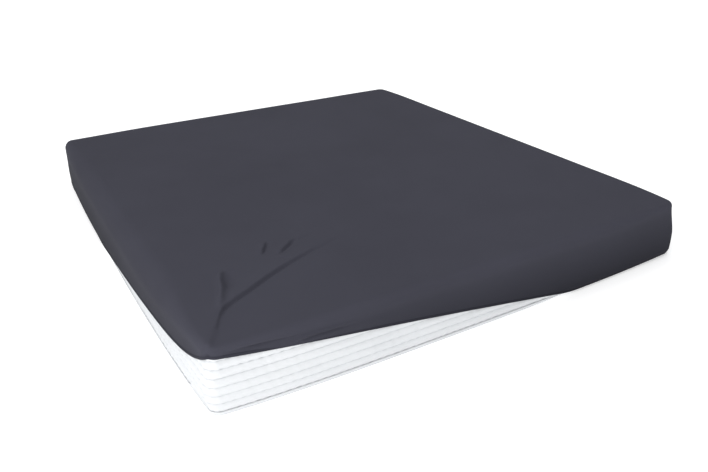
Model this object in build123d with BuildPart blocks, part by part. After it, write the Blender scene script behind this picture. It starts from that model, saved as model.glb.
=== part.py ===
"""Pressure relief mattress: a zipped, quilted casing round a layered foam core, under a stretch cover.

Frame: millimetres, +Z up, origin on the floor under the middle of the mattress.
X runs across the bed, Y along it, with the head end at +Y and the foot end at -Y.
Offsets named out_* are measured outwards from the casing's side, so negative ones lie inside it.
"""

import os

from build123d import *

# ---------------------------------------------------------------- driving dimensions
mattress_width = 1800
mattress_length = 2000
mattress_height = 215  # the casing, without the cover
corner_radius = 30  # the casing's corners seen from above
top_edge_radius = 18
base_edge_radius = 6

# quilted casing
panel_thickness = 12
border_thickness = 12
border_edge_thickness = 7  # the border's lower edge and the base's upstand
base_thickness = 5
upstand_height = 11
quilt_pitch = 26.5
quilt_depth = 4
piping_radius = 2.4
piping_clearance = 0.1
casing_clearance = 1  # between the casing and the foam

# zip between border and base
zip_slot = 10  # height of the gap that the chain fills
tape_thickness = 1
tape_hold = 10  # how far each tape runs behind the edge it is sewn to
tape_clearance = 0.3
coil_width = 2.2
coil_thickness = 2.4
zip_end_inset = 60  # from the end of the left side's straight stretch to the parked slider
chain_break = 13  # between the chain's two ends, past the parked slider
stop_length = 1.8
stop_overhang = 0.4

# slider and pull tab
slider_length = 12
slider_margin = 0.5  # above and below the slider in the slot
slider_plate = 1.2
slider_clearance = 0.3
slider_post = 1  # the web that parts the two halves of the chain
post_length = 3
post_inset = 0.5
bridge_length = 7
bridge_width = 2.5
bridge_bar = 1
bridge_leg = 1
pin_radius = 0.6
pin_clearance = 0.1
tab_length = 26
tab_width = 6
tab_grip_radius = 1.6

# foam core
bolster_width = 80
core_bottom_gap = 0.3
core_edge_radius = 8
transition_height = 42
comfort_height = 55
flex_cut_width = 6
flex_cut_depth = 45
flex_cut_pitch = 110
vent_radius = 9
vent_pitch = 90
cell_groove = 5
cell_depth = 32
heel_share = 0.17  # each zone's share of the length between the end bolsters
leg_share = 0.2
seat_share = 0.22
back_share = 0.24

# fitted cover
cover_gap = 0.8
jersey_thickness = 1.5
cover_edge_drop = 4  # straight stretch under the top panel's rounded edge
hem_height = 10
hem_thickness = 3.4
hem_floor_gap = 2
elastic_thickness = 1
elastic_height = 5
tunnel_clearance = 0.2
hem_corner_height = 182  # where the cover is pulled up at the left foot corner
foot_peel_length = 1300
side_peel_length = 1200

label_width = 40
label_length = 60
label_thickness = 0.3
label_clearance = 0.1

# ---------------------------------------------------------------- sizes that follow
head_y = mattress_length / 2
side_x = mattress_width / 2
border_bottom = upstand_height + zip_slot
chain_z = upstand_height + zip_slot / 2
piping_zone = 2 * (piping_radius + piping_clearance)
quilt_rows = int((mattress_height - top_edge_radius - piping_zone - chain_z) / quilt_pitch - 0.5)
quilt_top = chain_z + (quilt_rows + 0.5) * quilt_pitch
border_top = quilt_top + piping_zone
piping_out = -(piping_radius + piping_clearance)

tape_out = -(border_edge_thickness + tape_clearance)  # the tapes' outer face
coil_out = tape_out + coil_thickness
slider_height = zip_slot - 2 * slider_margin
chain_gap = slider_post + 2 * slider_clearance  # the slider's web runs between the chain's halves
upper_chain_z = chain_z + chain_gap / 2
lower_chain_z = chain_z - chain_gap / 2
slider_s = head_y - corner_radius - zip_end_inset
chain_end_s = slider_s + slider_length / 2 - post_inset - post_length

core_out = -(border_thickness + casing_clearance)
core_bottom = base_thickness + core_bottom_gap
core_top = mattress_height - panel_thickness - core_bottom_gap
core_width = mattress_width + 2 * core_out - 2 * bolster_width
core_length = mattress_length + 2 * core_out - 2 * bolster_width
comfort_bottom = core_top - comfort_height
transition_bottom = comfort_bottom - transition_height

cover_top_z = mattress_height - top_edge_radius - cover_edge_drop  # where the cover's top panel starts
cover_out = cover_gap + jersey_thickness
hem_out = cover_gap + hem_thickness


# The left side seen from outside: its own x is the distance towards the foot end, and its y is height.
left_side = Plane(origin=(-side_x, 0, 0), x_dir=(0, -1, 0), z_dir=(-1, 0, 0))


# ---------------------------------------------------------------- shared outlines
def outline(out, mode=Mode.ADD):
    """The mattress's rounded outline from above, moved outwards by out, in the open sketch."""
    RectangleRounded(mattress_width + 2 * out, mattress_length + 2 * out, corner_radius + out, mode=mode)


def ring(outer, inner):
    """The band between two such outlines, in the open sketch."""
    outline(outer)
    outline(inner, mode=Mode.SUBTRACT)


def domed_block(out, bottom, top, edge_radius):
    """A block on such an outline, with its upper edge rounded."""
    with BuildPart() as block:
        with BuildSketch(Plane.XY.offset(bottom)):
            outline(out)
        extrude(amount=top - bottom)
        fillet(block.faces().sort_by(Axis.Z)[-1].edges(), radius=edge_radius)
    return block.part


def border_path(out):
    """The outline as a closed path that starts in the middle of the right side."""
    x, y, r = side_x + out, head_y + out, corner_radius + out
    with BuildLine() as path:
        Line((x, 0), (x, y - r))
        JernArc((x, y - r), (0, 1), r, 90)
        Line((x - r, y), (r - x, y))
        JernArc((r - x, y), (-1, 0), r, 90)
        Line((-x, y - r), (-x, r - y))
        JernArc((-x, r - y), (0, -1), r, 90)
        Line((r - x, -y), (x - r, -y))
        JernArc((x - r, -y), (1, 0), r, 90)
        Line((x, r - y), (x, 0))
    return path.wire()


# ---------------------------------------------------------------- casing: the lower half
with BuildPart() as casing_base:
    with BuildSketch():
        outline(0)
    extrude(amount=upstand_height)
    fillet(casing_base.faces().sort_by(Axis.Z)[0].edges(), radius=base_edge_radius)
    with BuildSketch(Plane.XY.offset(base_thickness)):
        outline(-border_edge_thickness)
    extrude(amount=upstand_height, mode=Mode.SUBTRACT)

# ---------------------------------------------------------------- casing: the upper half
# The border's section: quilted rows outside, a rebate for the zip tape inside.
with BuildPart() as casing_border:
    with BuildSketch(Plane.XZ):
        with BuildLine():
            row_x = side_x - quilt_depth
            row_lines = [chain_z + quilt_pitch * (row + 1) for row in range(quilt_rows)]
            row_lines = [border_bottom, *row_lines, quilt_top]
            for low, high in zip(row_lines, row_lines[1:]):
                bulge = quilt_depth * ((high - low) / quilt_pitch) ** 2
                ThreePointArc((row_x, low), (row_x + bulge, (low + high) / 2), (row_x, high))
            Polyline(
                (row_x, quilt_top),
                (side_x + 2 * piping_out, quilt_top),
                (side_x + 2 * piping_out, border_top),
                (side_x - border_thickness, border_top),
                (side_x - border_thickness, border_bottom + tape_hold + tape_clearance),
                (side_x - border_edge_thickness, border_bottom + tape_hold + tape_clearance),
                (side_x - border_edge_thickness, border_bottom),
                (row_x, border_bottom),
            )
        make_face()
    sweep(path=border_path(0))

panel_underside = mattress_height - panel_thickness
panel_block = domed_block(0, border_top, mattress_height, top_edge_radius)
panel_hollow = domed_block(
    -border_thickness, border_top, panel_underside, top_edge_radius - panel_thickness
)
with BuildPart() as casing_top_panel:
    add(panel_block)
    add(panel_hollow, mode=Mode.SUBTRACT)

with BuildPart() as top_piping:
    with BuildSketch(Plane.XZ):
        with Locations((side_x + piping_out, (quilt_top + border_top) / 2)):
            Circle(piping_radius)
    sweep(path=border_path(piping_out))

with BuildPart() as care_label:
    with BuildSketch(Plane.XZ.offset(-(head_y + label_clearance))):
        with Locations((side_x / 2, quilt_top)):
            Rectangle(label_width, label_length, align=(Align.CENTER, Align.MAX))
    extrude(amount=-label_thickness)


# ---------------------------------------------------------------- zip
def zip_band(outer, inner, bottom, height, start_gap=0):
    """A band of the zip all round the mattress, broken past the parked slider."""
    with BuildPart() as band:
        with BuildSketch(Plane.XY.offset(bottom)):
            ring(outer, inner)
            with Locations((-side_x, -chain_end_s)):
                Rectangle(
                    2 * border_thickness,
                    chain_break + start_gap,
                    align=(Align.CENTER, Align.MAX),
                    mode=Mode.SUBTRACT,
                )
        extrude(amount=height)
    return band


tape_back = tape_out - tape_thickness
upper_tape_height = border_bottom + tape_hold - upper_chain_z
zip_tape_upper = zip_band(tape_out, tape_back, upper_chain_z, upper_tape_height)
zip_tape_lower = zip_band(tape_out, tape_back, core_bottom, lower_chain_z - core_bottom)

stop_gap = 2 * stop_length  # the coils start this far past the chain's other end
zip_coil_upper = zip_band(coil_out, tape_out, upper_chain_z, coil_width, start_gap=stop_gap)
zip_coil_lower = zip_band(coil_out, tape_out, lower_chain_z - coil_width, coil_width, start_gap=stop_gap)


def zip_stop(bottom):
    """The stop at the start of one half of the chain."""
    with BuildPart() as stop:
        with BuildSketch(left_side.offset(tape_out)):
            with Locations((chain_end_s + chain_break, bottom)):
                Rectangle(stop_length, coil_width + stop_overhang, align=(Align.MIN, Align.MIN))
        extrude(amount=coil_thickness + stop_overhang)
    return stop


zip_stop_upper = zip_stop(upper_chain_z)
zip_stop_lower = zip_stop(lower_chain_z - coil_width - stop_overhang)

# distances outwards from the casing's side
front_plate_out = coil_out + slider_clearance
back_plate_out = tape_back - slider_clearance
pin_out = front_plate_out + slider_plate + pin_clearance + pin_radius
bridge_out = pin_out + pin_radius + pin_clearance
bridge_height = bridge_out + bridge_bar - front_plate_out - slider_plate
bridge_hole = bridge_out - front_plate_out - slider_plate

with BuildPart() as zip_slider:
    # the plates in front of the coils and behind the tapes
    for plate_out in (front_plate_out, back_plate_out - slider_plate):
        with BuildSketch(left_side.offset(plate_out)):
            with Locations((slider_s, chain_z)):
                RectangleRounded(slider_length, slider_height, slider_height / 4)
        extrude(amount=slider_plate)
    # the web that joins them and parts the chain
    with BuildSketch(left_side.offset(back_plate_out)):
        with Locations((chain_end_s + post_length / 2, chain_z)):
            Rectangle(post_length, slider_post)
    extrude(amount=front_plate_out - back_plate_out)
    # the bridge that holds the pull tab's pin
    with BuildSketch(Plane.XY.offset(chain_z - bridge_width / 2)):
        with Locations((-side_x - front_plate_out - slider_plate, -slider_s)):
            Rectangle(bridge_height, bridge_length, align=(Align.MAX, Align.CENTER))
            Rectangle(
                bridge_hole,
                bridge_length - 2 * bridge_leg,
                align=(Align.MAX, Align.CENTER),
                mode=Mode.SUBTRACT,
            )
    extrude(amount=bridge_width)

yoke_gap = bridge_width + 2 * slider_clearance
yoke_reach = (bridge_length**2 / 4 + (bridge_out + bridge_bar - pin_out) ** 2) ** 0.5 + slider_clearance

with BuildPart() as zip_pull_tab:
    with BuildSketch(left_side.offset(pin_out - pin_radius)):
        with Locations((slider_s, chain_z)):
            Rectangle(tab_length - tab_width / 2, tab_width, align=(Align.MAX, Align.CENTER))
            Rectangle(yoke_reach, yoke_gap, align=(Align.MAX, Align.CENTER), mode=Mode.SUBTRACT)
        with Locations((slider_s - tab_length + tab_width / 2, chain_z)):
            Circle(tab_width / 2)
            Circle(tab_grip_radius, mode=Mode.SUBTRACT)
    extrude(amount=2 * pin_radius)
    # the pin through the slider's bridge
    with BuildSketch(Plane.XY.offset(chain_z - tab_width / 2)):
        with Locations((-side_x - pin_out, -slider_s)):
            Circle(pin_radius)
    extrude(amount=tab_width)


# ---------------------------------------------------------------- foam core
core_envelope = domed_block(core_out, core_bottom, core_top, core_edge_radius)


def core_block(low_x, high_x, low_y, high_y, bottom, top):
    """The part of the core's rounded envelope between those planes."""
    with BuildPart() as block:
        add(core_envelope)
        with BuildSketch(Plane.XY.offset(bottom)):
            with Locations(((low_x + high_x) / 2, (low_y + high_y) / 2)):
                Rectangle(high_x - low_x, high_y - low_y)
        extrude(amount=top - bottom, mode=Mode.INTERSECT)
    return block


half_width = core_width / 2
half_length = core_length / 2
outer_x = side_x + core_out
outer_y = head_y + core_out

bolster_left = core_block(-outer_x, -half_width, -outer_y, outer_y, core_bottom, core_top)
bolster_right = core_block(half_width, outer_x, -outer_y, outer_y, core_bottom, core_top)
bolster_foot = core_block(-half_width, half_width, -outer_y, -half_length, core_bottom, core_top)
bolster_head = core_block(-half_width, half_width, half_length, outer_y, core_bottom, core_top)

with BuildPart() as support_foam:
    with BuildSketch(Plane.XY.offset(core_bottom)):
        Rectangle(core_width, core_length)
    extrude(amount=transition_bottom - core_bottom)
    # cuts across the top let the block bend with an adjustable bed
    with BuildSketch(Plane.XY.offset(transition_bottom)):
        with GridLocations(0, flex_cut_pitch, 1, int(core_length / flex_cut_pitch)):
            Rectangle(core_width, flex_cut_width)
    extrude(amount=-flex_cut_depth, mode=Mode.SUBTRACT)

with BuildPart() as transition_foam:
    with BuildSketch(Plane.XY.offset(transition_bottom)):
        Rectangle(core_width, core_length)
    extrude(amount=transition_height)
    # half-round channels along the underside carry moisture away
    with BuildSketch(Plane.XZ.offset(-half_length)):
        with Locations((0, transition_bottom)):
            with GridLocations(vent_pitch, 0, int(core_width / vent_pitch), 1):
                Circle(vent_radius)
    extrude(amount=core_length, mode=Mode.SUBTRACT)


def comfort_zone(low_y, length, columns, rows):
    """A block of slow foam whose top is cut into columns by rows of separate cells."""
    with BuildPart() as zone:
        with BuildSketch(Plane.XY.offset(comfort_bottom)):
            with Locations((0, low_y)):
                Rectangle(core_width, length, align=(Align.CENTER, Align.MIN))
        extrude(amount=core_top - comfort_bottom)
        with BuildSketch(Plane.XY.offset(core_top)):
            with Locations((0, low_y + length / 2)):
                if columns > 1:
                    with GridLocations(core_width / columns, 0, columns - 1, 1):
                        Rectangle(cell_groove, length)
                with GridLocations(0, length / rows, 1, rows - 1):
                    Rectangle(core_width, cell_groove)
        extrude(amount=-cell_depth, mode=Mode.SUBTRACT)
    return zone


heel_length = heel_share * core_length
leg_length = leg_share * core_length
seat_length = seat_share * core_length
back_length = back_share * core_length
leg_y = -half_length + heel_length
seat_y = leg_y + leg_length
back_y = seat_y + seat_length
head_zone_y = back_y + back_length

comfort_heel = comfort_zone(-half_length, heel_length, columns=1, rows=7)
comfort_legs = comfort_zone(leg_y, leg_length, columns=16, rows=4)
comfort_seat = comfort_zone(seat_y, seat_length, columns=24, rows=6)
comfort_back = comfort_zone(back_y, back_length, columns=16, rows=5)
comfort_head = comfort_zone(head_zone_y, half_length - head_zone_y, columns=12, rows=3)


# ---------------------------------------------------------------- fitted cover
# Planes just inside the pulled-up corner: their x runs away from the corner, their y is height.
foot_face = Plane(origin=(-side_x, corner_radius - head_y, 0), x_dir=(1, 0, 0), z_dir=(0, -1, 0))
left_face = Plane(origin=(corner_radius - side_x, -head_y, 0), x_dir=(0, 1, 0), z_dir=(1, 0, 0))


def below_hem(rise):
    """Everything lower than the line that runs rise above the cover's lower edge."""
    margin = 2 * corner_radius
    high = hem_corner_height + rise
    low = hem_floor_gap + rise
    with BuildPart() as below:
        with BuildSketch(Plane.XY.offset(-margin)):
            outline(margin)
        extrude(amount=margin + low)
        # the foot end: the edge drops in a straight line from the pulled-up corner
        with BuildSketch(foot_face):
            with BuildLine():
                Polyline(
                    (-margin, 0),
                    (-margin, high),
                    (corner_radius, high),
                    (foot_peel_length, low),
                    (foot_peel_length, 0),
                    close=True,
                )
            make_face()
        extrude(amount=margin)
        # the left side: it sags away from the corner in a curve
        with BuildSketch(left_face):
            with BuildLine():
                Bezier((corner_radius, high), (side_peel_length / 2, low), (side_peel_length, low))
                Polyline(
                    (side_peel_length, low),
                    (side_peel_length, 0),
                    (-margin, 0),
                    (-margin, high),
                    (corner_radius, high),
                )
            make_face()
        extrude(amount=-margin)
    return below.part


def cover_band(outer, inner, low_cut, high_cut=None):
    """A band of the cover's side between two lines that run with its lower edge."""
    with BuildPart() as band:
        with BuildSketch(Plane.XY.offset(hem_floor_gap)):
            ring(outer, inner)
        extrude(amount=cover_top_z - hem_floor_gap)
        if high_cut is not None:
            add(high_cut, mode=Mode.INTERSECT)
        add(low_cut, mode=Mode.SUBTRACT)
    return band


cover_block = domed_block(
    cover_out, cover_top_z, mattress_height + cover_out, top_edge_radius + cover_out
)
cover_hollow = domed_block(
    cover_gap, cover_top_z, mattress_height + cover_gap, top_edge_radius + cover_gap
)
with BuildPart() as cover_panel:
    add(cover_block)
    add(cover_hollow, mode=Mode.SUBTRACT)

hem_line = below_hem(0)
hem_stitch_line = below_hem(hem_height)
elastic_low = (hem_height - elastic_height) / 2
elastic_band = (below_hem(elastic_low), below_hem(elastic_low + elastic_height))
tunnel_band = (
    below_hem(elastic_low - tunnel_clearance),
    below_hem(elastic_low + elastic_height + tunnel_clearance),
)
elastic_in = cover_gap + (hem_thickness - elastic_thickness) / 2
elastic_out = elastic_in + elastic_thickness
tunnel_out = elastic_out + tunnel_clearance
tunnel_in = elastic_in - tunnel_clearance

cover_skirt = cover_band(cover_out, cover_gap, hem_stitch_line)
hem_elastic = cover_band(elastic_out, elastic_in, *elastic_band)
hem_tunnel = cover_band(tunnel_out, tunnel_in, *tunnel_band)
hem_band = cover_band(hem_out, cover_gap, hem_line, hem_stitch_line)
with BuildPart() as cover_hem:
    add(hem_band.part)
    add(hem_tunnel.part, mode=Mode.SUBTRACT)


# ---------------------------------------------------------------- export
pieces = {
    "casing_base": casing_base,
    "casing_border": casing_border,
    "casing_top_panel": casing_top_panel,
    "top_piping": top_piping,
    "care_label": care_label,
    "zip_tape_upper": zip_tape_upper,
    "zip_tape_lower": zip_tape_lower,
    "zip_coil_upper": zip_coil_upper,
    "zip_coil_lower": zip_coil_lower,
    "zip_stop_upper": zip_stop_upper,
    "zip_stop_lower": zip_stop_lower,
    "zip_slider": zip_slider,
    "zip_pull_tab": zip_pull_tab,
    "bolster_left": bolster_left,
    "bolster_right": bolster_right,
    "bolster_foot": bolster_foot,
    "bolster_head": bolster_head,
    "support_foam": support_foam,
    "transition_foam": transition_foam,
    "comfort_heel": comfort_heel,
    "comfort_legs": comfort_legs,
    "comfort_seat": comfort_seat,
    "comfort_back": comfort_back,
    "comfort_head": comfort_head,
    "cover_panel": cover_panel,
    "cover_skirt": cover_skirt,
    "cover_hem": cover_hem,
    "hem_elastic": hem_elastic,
}

os.makedirs("parts", exist_ok=True)
for name, piece in pieces.items():
    piece.part.label = name
    export_step(piece.part, f"parts/{name}.step")
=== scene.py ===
# %% [markdown]
# # A pressure relief mattress in its stretch cover
#
# The mattress is a block of layered foam in a zipped, quilted white casing, under a dark grey fitted cover.
# The cover has slipped up at one corner, so it shows a border of quilted channels and a fan of creases.
#
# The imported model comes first. It says where everything is, and nothing here moves or resizes it. Every
# soft piece below is a surface worked out with numpy from those places, and it rides on its solid's body.
# The soft pieces could also be modelled by hand, but a formula keeps all the layers in step: when the plan
# or the height changes, base, zip, border, top and cover change together.

import math

import bmesh
import bpy
import numpy as np
from mathutils import Matrix, Vector


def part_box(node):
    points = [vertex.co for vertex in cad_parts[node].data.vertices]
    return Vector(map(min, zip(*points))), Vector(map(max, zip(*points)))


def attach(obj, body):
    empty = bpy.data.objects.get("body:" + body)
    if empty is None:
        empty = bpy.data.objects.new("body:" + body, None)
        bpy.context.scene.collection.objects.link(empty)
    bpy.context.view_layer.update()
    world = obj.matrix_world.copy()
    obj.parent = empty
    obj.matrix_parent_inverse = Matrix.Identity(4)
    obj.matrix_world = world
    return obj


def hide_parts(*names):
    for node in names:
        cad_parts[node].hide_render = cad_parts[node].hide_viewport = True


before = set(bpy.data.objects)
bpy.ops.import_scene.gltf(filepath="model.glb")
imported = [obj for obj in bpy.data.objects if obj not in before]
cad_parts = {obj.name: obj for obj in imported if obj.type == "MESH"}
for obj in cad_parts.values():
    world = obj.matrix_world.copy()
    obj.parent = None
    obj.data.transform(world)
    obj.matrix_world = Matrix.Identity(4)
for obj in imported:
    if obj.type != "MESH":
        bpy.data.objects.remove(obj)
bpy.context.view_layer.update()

# %% [markdown]
# ## Measures
#
# All sizes are in metres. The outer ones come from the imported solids, so the soft pieces can't drift from
# them.

# %% Measures taken from the frame
panel_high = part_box("casing_top_panel")[1]
base_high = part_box("casing_base")[1]
border_low, border_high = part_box("casing_border")
cover_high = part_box("cover_panel")[1]
slider_low, slider_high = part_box("zip_slider")
stop_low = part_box("zip_stop_upper")[0]
half_x = panel_high.x
half_y = panel_high.y
height = panel_high.z
zip_low = base_high.z
zip_high = border_low.z
zip_z = (zip_low + zip_high) / 2
flap = 0.0049  # how far each cloth edge reaches over the slot, to conceal the zip
flap_parked = 0.0  # and how far where the slider is parked
slider_y = (slider_low.y + slider_high.y) / 2
border_top = border_high.z
cover_lift = cover_high.z - height
print(f"the casing is {2 * half_x:.3f} by {2 * half_y:.3f} by {height:.3f}")
print(f"its zip is at a height of {zip_z:.4f}, and its slider at y = {slider_y:.3f}")

# %% [markdown]
# ## The camera
#
# The mattress is seen from above its near left corner, with a lens of about 36 mm. The view is tipped down
# by about 24 degrees and rolled by 1 degree. A camera looks along its own -Z, so its turn is the matrix
# whose columns are the view's right, up and backward directions.

# %% Camera
view_yaw = math.radians(29.34)
view_pitch = math.radians(23.68)
view_roll = math.radians(-0.97)
view_place = (-1.3138, -2.4611, 1.2573)
view_lens = 35.76


def camera_turn(yaw, pitch, roll):
    """The camera's rotation: yaw is clockwise from +Y, pitch is downwards, roll turns the picture."""
    forward = np.array([math.sin(yaw) * math.cos(pitch), math.cos(yaw) * math.cos(pitch), -math.sin(pitch)])
    level = np.array([math.cos(yaw), -math.sin(yaw), 0.0])
    upright = np.cross(level, forward)
    right = math.cos(roll) * level + math.sin(roll) * upright
    up = math.cos(roll) * upright - math.sin(roll) * level
    return Matrix(np.stack([right, up, -forward], axis=1).tolist())


camera_data = bpy.data.cameras.new("view_camera")
camera_data.lens = view_lens
camera_data.sensor_width = 36
camera_data.shift_x = 0.0141
camera_data.shift_y = -0.0424
camera = bpy.data.objects.new("view_camera", camera_data)
camera.matrix_world = Matrix.Translation(view_place) @ camera_turn(view_yaw, view_pitch, view_roll).to_4x4()
bpy.context.scene.collection.objects.link(camera)
bpy.context.scene.camera = camera
print("camera at", view_place, "with a lens of", view_lens)

# %% [markdown]
# ## Meshes from grids
#
# Every surface below is a grid of points: two numbers say which point, and a formula says where it is.
# These helpers turn such arrays into a mesh in one step. A UV map goes on each piece whose weave or
# stitching has to follow the cloth. It is in metres, so that a pattern's scale is its real size.

# %% Mesh helpers
def mesh_piece(name, places, faces, uv=None):
    """A mesh object from places (n, 3), faces (m, corners) and, corner by corner, the UV places (m,
    corners, 2)."""
    count, corners = faces.shape
    mesh = bpy.data.meshes.new(name)
    mesh.vertices.add(len(places))
    mesh.vertices.foreach_set("co", places.astype(np.float32).ravel())
    mesh.loops.add(count * corners)
    mesh.loops.foreach_set("vertex_index", faces.astype(np.int32).ravel())
    mesh.polygons.add(count)
    mesh.polygons.foreach_set("loop_start", np.arange(0, count * corners, corners, dtype=np.int32))
    mesh.update(calc_edges=True)
    mesh.polygons.foreach_set("use_smooth", np.ones(count, dtype=bool))
    if uv is not None:
        layer = mesh.uv_layers.new(name="cloth")
        layer.uv.foreach_set("vector", uv.astype(np.float32).ravel())
    piece = bpy.data.objects.new(name, mesh)
    bpy.context.scene.collection.objects.link(piece)
    return piece


def grid_faces(rows, cols, round_rows=False, round_cols=False, flip=False):
    """The quads of a grid whose point (i, j) has the number i * cols + j. A round direction joins its
    ends."""
    i = np.arange(rows if round_rows else rows - 1)[:, None]
    j = np.arange(cols if round_cols else cols - 1)[None, :]
    i_next = (i + 1) % rows
    j_next = (j + 1) % cols
    quads = np.stack([i * cols + j, i_next * cols + j, i_next * cols + j_next, i * cols + j_next], axis=-1)
    quads = quads.reshape(-1, 4)
    return quads[:, ::-1] if flip else quads


def grid_uv(u, v, flip=False):
    """The UV places of the same quads, from arrays with one more row or column in each round direction."""
    pair = np.stack([u, v], axis=-1)
    quads = np.stack([pair[:-1, :-1], pair[1:, :-1], pair[1:, 1:], pair[:-1, 1:]], axis=2).reshape(-1, 4, 2)
    return quads[:, ::-1] if flip else quads


def points_of(*arrays):
    """Arrays of x, y and z, of any one shape, as a list of places."""
    return np.stack(np.broadcast_arrays(*arrays), axis=-1).reshape(-1, 3)


def weld(piece, distance=2e-5):
    """Joins points that lie on each other, drops faces with no area, and turns the faces of a closed shell
    out."""
    work = bmesh.new()
    work.from_mesh(piece.data)
    bmesh.ops.remove_doubles(work, verts=work.verts, dist=distance)
    bmesh.ops.dissolve_degenerate(work, edges=work.edges, dist=distance)
    if not any(edge.is_boundary for edge in work.edges):
        bmesh.ops.recalc_face_normals(work, faces=work.faces)
    work.to_mesh(piece.data)
    work.free()


def place_piece(piece, body, slot, *nodes):
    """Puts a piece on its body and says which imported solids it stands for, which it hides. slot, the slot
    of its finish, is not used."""
    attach(piece, body)
    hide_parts(*nodes)
    print(f"{piece.name}: {len(piece.data.polygons)} faces, stands for {', '.join(nodes)}")


print("quads of a grid of 3 by 4 points:", len(grid_faces(3, 4)))
print("and of the same grid joined both ways:", len(grid_faces(3, 4, True, True)))

# %% [markdown]
# ## The shape that every layer shares
#
# Base, zip, border, top panel and cover lie on each other, so all of them use the same outline and the same
# section. The plan is a rectangle with rounded corners, whose sides bow out a little because the foam
# pushes them. The section has a rounded lower edge, an almost straight side and a rounded shoulder. The
# shoulder is soft along the left side and tight at the corner where the cloth is pulled to a tip. The
# elastic squeezes the lower edge wherever the cover reaches the floor.

# %% Plan
corner_radius = 0.030
bow_left, bow_right = 0.0240, 0.0232
bow_foot, bow_head = 0.0228, 0.0094
slider_room = 0.034  # near its parked slider the zip's strip doesn't bow, as the slider's way is straight
strip_half = 0.0125  # that strip's half height
strip_fade = 0.006  # and how fast the bow comes back above and below it
right_bulge = 0.021  # the right corner at the foot end sags outwards, low down
near_bulge = 0.007  # so does the bare corner, a little


def smooth(x):
    """A smooth step: 0 below 0, 1 above 1."""
    x = np.clip(x, 0, 1)
    return x * x * (3 - 2 * x)


def hump(x, width):
    """A bell: 1 at 0, and next to nothing beyond twice the width."""
    return np.exp(-((x / width) ** 2))


def rounded(x, y, lift=0.0):
    """Rounds the rectangle's corners: each corner square becomes a quarter circle, as u' = u sqrt(1 - v v /
    2)."""
    radius = corner_radius + lift
    straight_x = half_x + lift - radius
    straight_y = half_y + lift - radius
    u = np.clip((np.abs(x) - straight_x) / radius, 0, 1)
    v = np.clip((np.abs(y) - straight_y) / radius, 0, 1)
    round_x = np.minimum(np.abs(x), straight_x) + radius * u * np.sqrt(1 - v * v / 2)
    round_y = np.minimum(np.abs(y), straight_y) + radius * v * np.sqrt(1 - u * u / 2)
    return np.sign(x) * round_x, np.sign(y) * round_y


def depth_inside(x, y, lift=0.0):
    """How far a point of the plan is inside the rounded outline."""
    radius = corner_radius + lift
    over_x = np.abs(x) - (half_x + lift - radius)
    over_y = np.abs(y) - (half_y + lift - radius)
    outside = np.hypot(np.maximum(over_x, 0), np.maximum(over_y, 0))
    return radius - outside - np.minimum(np.maximum(over_x, over_y), 0)


def outward(x, y):
    """The direction straight out of the outline, at points on it."""
    over_x = np.maximum(np.abs(x) - (half_x - corner_radius), 0) * np.sign(x)
    over_y = np.maximum(np.abs(y) - (half_y - corner_radius), 0) * np.sign(y)
    length = np.hypot(over_x, over_y)
    return over_x / length, over_y / length


def from_slider(y):
    """The distance along the side to the slider, parked at either end of its way."""
    return np.abs(np.abs(y) + slider_y)


def bowed(x, y, z, room=1.0):
    """Pushes the sides out: a side's amount times (1 - t to a power) along it, falling off towards the
    middle. The power is higher on the right, which stays out until close to its corners. Two corners sag
    outwards low down. room is 0 for the cover, which bridges the hollow that the zip's strip has at its
    slider."""
    share_x = np.minimum(np.abs(x) / half_x, 1)
    share_y = np.minimum(np.abs(y) / half_y, 1)
    along_strip = smooth((2.2 * slider_room - from_slider(y)) / slider_room)
    across_strip = smooth((strip_half - np.abs(z - zip_z)) / strip_fade)
    at_slider = along_strip * across_strip * (x < 0) * room
    sag = smooth((height - z) / 0.13)
    right_corner = right_bulge * hump(np.hypot(x - half_x, y + half_y), 0.15) * sag
    near_corner = near_bulge * hump(np.hypot(x + half_x, y + half_y), 0.30) * sag * smooth(z / 0.07)
    side_power = np.where(x < 0, 3.2, 7)
    push_x = np.where(x < 0, bow_left, bow_right) * share_x**2 * (1 - share_y**side_power)
    push_x = (push_x + (right_corner + near_corner) * share_x**2) * (1 - at_slider)
    push_y = np.where(y < 0, bow_foot, bow_head) * share_y**2 * (1 - share_x**4)
    push_y = push_y + (0.3 * right_corner + 0.5 * near_corner) * share_y**2
    return x + np.sign(x) * push_x, y + np.sign(y) * push_y


widest_x = bowed(np.array([-half_x, half_x]), np.zeros(2), np.full(2, height / 2))[0]
print("the bowed width is", round(float(np.ptp(widest_x)), 4))

# %% [markdown]
# ## The hem line and the section's radii
#
# The cover's lower edge falls almost straight along the foot end, and in a sagging curve along the left
# side. Everywhere else it is tucked under the lower edge. The two curves could be drawn by hand, point by
# point. Two short formulas are smoother, and they meet at the corner whatever the radius is.

# %% Hem line
hem_corner = 0.187  # the hem's height at the bare corner
hem_floor = 0.004  # and where it is tucked in
foot_peel, left_peel = 1.32, 1.30  # how far along the two sides it is pulled up


def hem_height(x, y):
    """The hem's height: a straight fall with a slight rise in its middle on the foot end, and a quick fall
    that slows down on the left side. The farther of the two distances from the corner says which side a
    point is on."""
    middle = corner_radius * (1 - math.sqrt(0.5))
    foot = np.maximum(x + half_x - middle, 0)
    left = np.maximum(y + half_y - middle, 0)
    u = np.clip(foot / foot_peel, 0, 1)
    along_foot = hem_corner * (1 - u) + 0.043 * u * (1 - u)
    along_left = 0.060 * np.exp(-left / 0.12) + 0.127 * (1 - left / left_peel)
    line = np.where(foot >= left, along_foot, along_left)
    far = (x > half_x - corner_radius) | (y > half_y - corner_radius)
    return np.where(far, hem_floor, np.maximum(line, hem_floor))


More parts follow.
